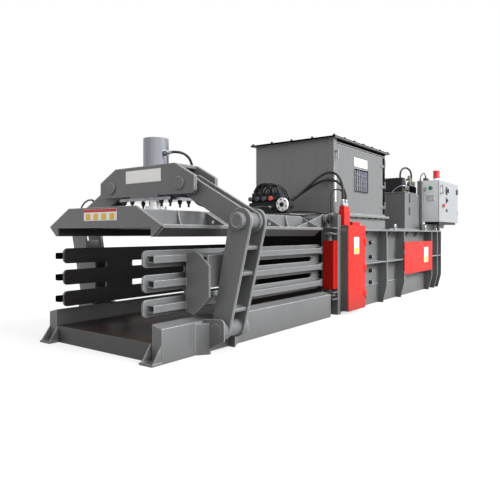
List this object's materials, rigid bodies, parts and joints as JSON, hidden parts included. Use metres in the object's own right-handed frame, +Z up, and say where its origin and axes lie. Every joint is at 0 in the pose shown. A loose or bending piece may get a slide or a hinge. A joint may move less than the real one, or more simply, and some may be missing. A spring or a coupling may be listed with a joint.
{
  "type": "horizontal hydraulic baling press",
  "caption": "Horizontal hydraulic channel baler: slotted bale chamber squeezed by a lever crosshead, top hopper, ram press box, tying unit, oil tank and control cabinet.",
  "frame": {"origin": "on the ground, on the centreline, half way along the base", "axes": "+X from the exit end to the rear, +Y to the far side of the picture, +Z up"},
  "size_m": [8.5095, 2.54, 2.363],
  "materials": {
    "grey_paint": "satin machine grey paint",
    "dark_grey_paint": "satin dark grey paint",
    "floor_steel": "worn plate",
    "red_paint": "gloss red paint",
    "bright_steel": "machined steel",
    "chrome_rod": "hard chrome",
    "black_paint": "satin black paint",
    "pale_paint": "textured light grey powder coat",
    "black_plastic": "moulded",
    "red_plastic": "moulded",
    "beacon_lens": "clear red lens",
    "window_panel": "tinted polycarbonate with painted bars",
    "hose_rubber": "wrapped rubber hose"
  },
  "bodies": {
    "frame": {"base_beams": "grey_paint", "cross_members": "grey_paint", "floor_plate": "floor_steel", "anchor_feet": "grey_paint", "lever_brackets": "grey_paint", "pivot_pins": "bright_steel", "press_wall_right": "grey_paint", "press_wall_left": "grey_paint", "portal_frame": "grey_paint", "press_roof": "grey_paint", "shear_blade": "bright_steel", "rear_plate": "grey_paint", "main_barrel": "dark_grey_paint", "hopper_shell": "grey_paint", "oil_tank": "grey_paint", "pump_motor": "black_paint", "tank_valves": "bright_steel", "valve_manifold": "black_paint", "solenoid_valves": "dark_grey_paint", "return_filter": "pale_paint", "hinge_guards": "red_paint", "tying_guard": "dark_grey_paint", "wire_twisters": "bright_steel", "twister_motor": "red_paint", "wire_guides": "black_paint", "cabinet_stand": "dark_grey_paint", "cabinet_tray": "black_paint", "cabinet_shell": "pale_paint", "beacon_lens": "beacon_lens", "lifting_eyes": "bright_steel", "hose_squeeze": "hose_rubber", "hose_loop_a": "hose_rubber", "hose_loop_b": "hose_rubber", "hose_tank": "hose_rubber"},
    "crosshead": {"crosshead": "grey_paint", "crosshead_pins": "bright_steel", "squeeze_barrel": "bright_steel"},
    "squeeze_rod": {"squeeze_rod": "chrome_rod"},
    "right_link": {"right_link": "grey_paint"},
    "left_link": {"left_link": "grey_paint"},
    "right_lever": {"right_lever": "grey_paint", "right_elbow_pin": "dark_grey_paint"},
    "left_lever": {"left_lever": "grey_paint", "left_elbow_pin": "dark_grey_paint"},
    "top_wall": {"top_wall": "grey_paint"},
    "right_wall": {"right_wall": "grey_paint", "right_rails": "grey_paint"},
    "left_wall": {"left_wall": "grey_paint", "left_rails": "grey_paint"},
    "ram": {"ram_box": "floor_steel", "ram_rod": "chrome_rod"},
    "hopper_door": {"hopper_door": "grey_paint", "hopper_window": "window_panel"},
    "hopper_latch": {"hopper_latch": "bright_steel"},
    "cabinet_door": {"cabinet_door": "pale_paint"},
    "main_switch": {"main_switch": "black_plastic"},
    "emergency_stop": {"emergency_stop": "red_plastic"},
    "start_button": {"start_button": "black_plastic"},
    "service_door": {"service_door": "red_paint"},
    "guard_door": {"guard_door": "red_paint"}
  },
  "joints": [
    {"name": "crosshead_lift", "type": "slide", "parent": "frame", "child": "crosshead", "axis": [0, 0, 1], "range_m": [0, 0.1]},
    {"name": "squeeze_rod_slide", "type": "slide", "parent": "crosshead", "child": "squeeze_rod", "axis": [0, 0, -1], "range_m": [0, 0.17]},
    {"name": "right_link_pivot", "type": "hinge", "parent": "crosshead", "child": "right_link", "pos_m": [-3.077, -0.489, 1.52], "axis": [1, 0, 0], "range_deg": [0, 8.2]},
    {"name": "left_link_pivot", "type": "hinge", "parent": "crosshead", "child": "left_link", "pos_m": [-3.077, 0.489, 1.52], "axis": [1, 0, 0], "range_deg": [-8.2, 0]},
    {"name": "right_lever_pivot", "type": "hinge", "parent": "frame", "child": "right_lever", "pos_m": [-3.077, -0.94, 0.215], "axis": [1, 0, 0], "range_deg": [-3.6, 0]},
    {"name": "left_lever_pivot", "type": "hinge", "parent": "frame", "child": "left_lever", "pos_m": [-3.077, 0.94, 0.215], "axis": [1, 0, 0], "range_deg": [0, 3.6]},
    {"name": "top_wall_hinge", "type": "hinge", "parent": "frame", "child": "top_wall", "pos_m": [-0.719, 0, 1.245], "axis": [0, 1, 0], "range_deg": [-1.6, 0]},
    {"name": "right_wall_hinge", "type": "hinge", "parent": "frame", "child": "right_wall", "pos_m": [-0.71, -0.7, 0.65], "axis": [0, 0, 1], "range_deg": [-0.8, 0]},
    {"name": "left_wall_hinge", "type": "hinge", "parent": "frame", "child": "left_wall", "pos_m": [-0.71, 0.7, 0.65], "axis": [0, 0, 1], "range_deg": [0, 0.8]},
    {"name": "ram_slide", "type": "slide", "parent": "frame", "child": "ram", "axis": [-1, 0, 0], "range_m": [0, 1.8]},
    {"name": "hopper_door_hinge", "type": "hinge", "parent": "frame", "child": "hopper_door", "pos_m": [1.302, -0.652, 1.82], "axis": [0, 0, 1], "range_deg": [0, 100]},
    {"name": "hopper_latch_turn", "type": "hinge", "parent": "frame", "child": "hopper_latch", "pos_m": [-0.44, -0.67, 2.17], "axis": [0, 1, 0], "range_deg": [0, 90]},
    {"name": "cabinet_door_hinge", "type": "hinge", "parent": "frame", "child": "cabinet_door", "pos_m": [4.648, -0.93, 1.685], "axis": [0, 0, 1], "range_deg": [0, 105]},
    {"name": "main_switch_turn", "type": "hinge", "parent": "cabinet_door", "child": "main_switch", "pos_m": [3.79, -0.944, 1.905], "axis": [0, 1, 0], "range_deg": [0, 90]},
    {"name": "emergency_stop_push", "type": "slide", "parent": "cabinet_door", "child": "emergency_stop", "axis": [0, 1, 0], "range_m": [0, 0.008]},
    {"name": "start_button_push", "type": "slide", "parent": "cabinet_door", "child": "start_button", "axis": [0, 1, 0], "range_m": [0, 0.006], "stiffness_N_per_m": 500},
    {"name": "service_door_hinge", "type": "hinge", "parent": "frame", "child": "service_door", "pos_m": [1.6, -0.871, 0.65], "axis": [0, 0, 1], "range_deg": [-105, 0]},
    {"name": "guard_door_hinge", "type": "hinge", "parent": "frame", "child": "guard_door", "pos_m": [-0.016, -0.901, 0.6], "axis": [0, 0, 1], "range_deg": [0, 105]}
  ],
  "couplings": [
    {"joint": "squeeze_rod_slide", "follows": "crosshead_lift", "ratio": 1.6178},
    {"joint": "right_link_pivot", "follows": "crosshead_lift", "rad_per_m": 1.3919},
    {"joint": "left_link_pivot", "follows": "crosshead_lift", "rad_per_m": -1.3919},
    {"joint": "right_lever_pivot", "follows": "crosshead_lift", "rad_per_m": -0.593},
    {"joint": "left_lever_pivot", "follows": "crosshead_lift", "rad_per_m": 0.593},
    {"joint": "top_wall_hinge", "follows": "crosshead_lift", "rad_per_m": -0.262},
    {"joint": "right_wall_hinge", "follows": "crosshead_lift", "rad_per_m": -0.1165},
    {"joint": "left_wall_hinge", "follows": "crosshead_lift", "rad_per_m": 0.1165}
  ]
}
